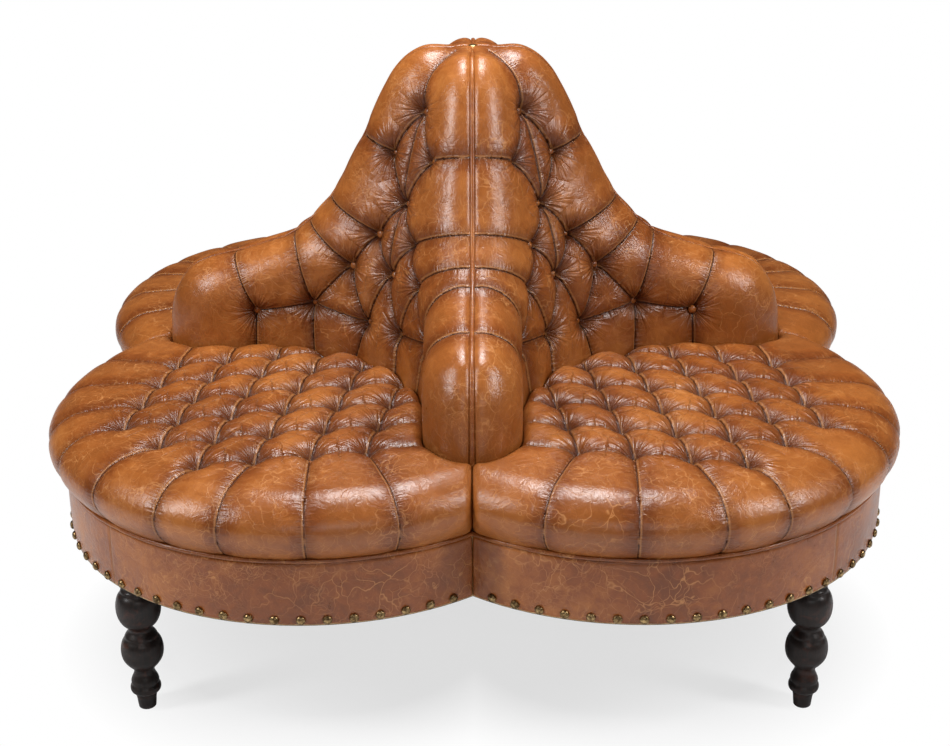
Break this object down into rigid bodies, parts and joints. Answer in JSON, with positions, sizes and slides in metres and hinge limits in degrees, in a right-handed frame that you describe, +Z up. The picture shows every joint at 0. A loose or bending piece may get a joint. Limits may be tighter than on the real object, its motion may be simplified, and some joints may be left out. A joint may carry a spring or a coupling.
{
  "type": "lobby sofa",
  "caption": "Round tufted leather lobby sofa with seats facing outwards round a crossed winged back, on turned wooden legs.",
  "frame": {"origin": "centre of the sofa's footprint at floor level, bottom centre of the bounding box", "axes": "+Z up; -Y towards the viewer of the picture; the back's wings run along X and Y, and the seats lie on the diagonals"},
  "size_m": [1.55, 1.55, 1.0633],
  "materials": {
    "leather": "waxed, lightly worn tan leather",
    "nail_brass": "antiqued",
    "leg_wood": "dark espresso stain with rubbed edges, satin",
    "plywood": "bare plywood",
    "frame_wood": "bare sawn hardwood",
    "foam": "upholstery foam",
    "webbing": "woven jute",
    "black_cloth": "black non-woven cloth",
    "steel": "zinc plated"
  },
  "bodies": {
    "root": {"base_bottom_board": "plywood", "base_top_board": "plywood", "base_walls": "plywood", "rail_x": "frame_wood", "rail_y": "frame_wood", "base_posts": "frame_wood", "leg_blocks": "frame_wood", "back_cleats": "frame_wood", "back_corner_posts": "frame_wood", "deck_screws": "steel", "hanger_bolts": "steel", "skirt_rear_right": "leather", "nailheads_rear_right": "nail_brass", "welt_rear_right": "leather", "leg_rear_right": "leg_wood", "seat_foam_rear_right": "foam", "seat_pad_rear_right": "leather", "seat_buttons_rear_right": "leather", "back_buttons_rear_right": "leather", "back_pad_rear_right": "leather", "skirt_rear_left": "leather", "nailheads_rear_left": "nail_brass", "welt_rear_left": "leather", "leg_rear_left": "leg_wood", "seat_foam_rear_left": "foam", "seat_pad_rear_left": "leather", "seat_buttons_rear_left": "leather", "back_buttons_rear_left": "leather", "back_pad_rear_left": "leather", "skirt_front_left": "leather", "nailheads_front_left": "nail_brass", "welt_front_left": "leather", "leg_front_left": "leg_wood", "seat_foam_front_left": "foam", "seat_pad_front_left": "leather", "seat_buttons_front_left": "leather", "back_buttons_front_left": "leather", "back_pad_front_left": "leather", "skirt_front_right": "leather", "nailheads_front_right": "nail_brass", "welt_front_right": "leather", "leg_front_right": "leg_wood", "seat_foam_front_right": "foam", "seat_pad_front_right": "leather", "seat_buttons_front_right": "leather", "back_buttons_front_right": "leather", "back_pad_front_right": "leather", "dust_cover": "black_cloth", "seat_webbing": "webbing", "back_panel_x": "plywood", "back_panel_y": "plywood", "ridge_band_right": "leather", "ridge_band_rear": "leather", "ridge_band_left": "leather", "ridge_band_front": "leather", "crown_nail": "nail_brass"}
  },
  "joints": []
}
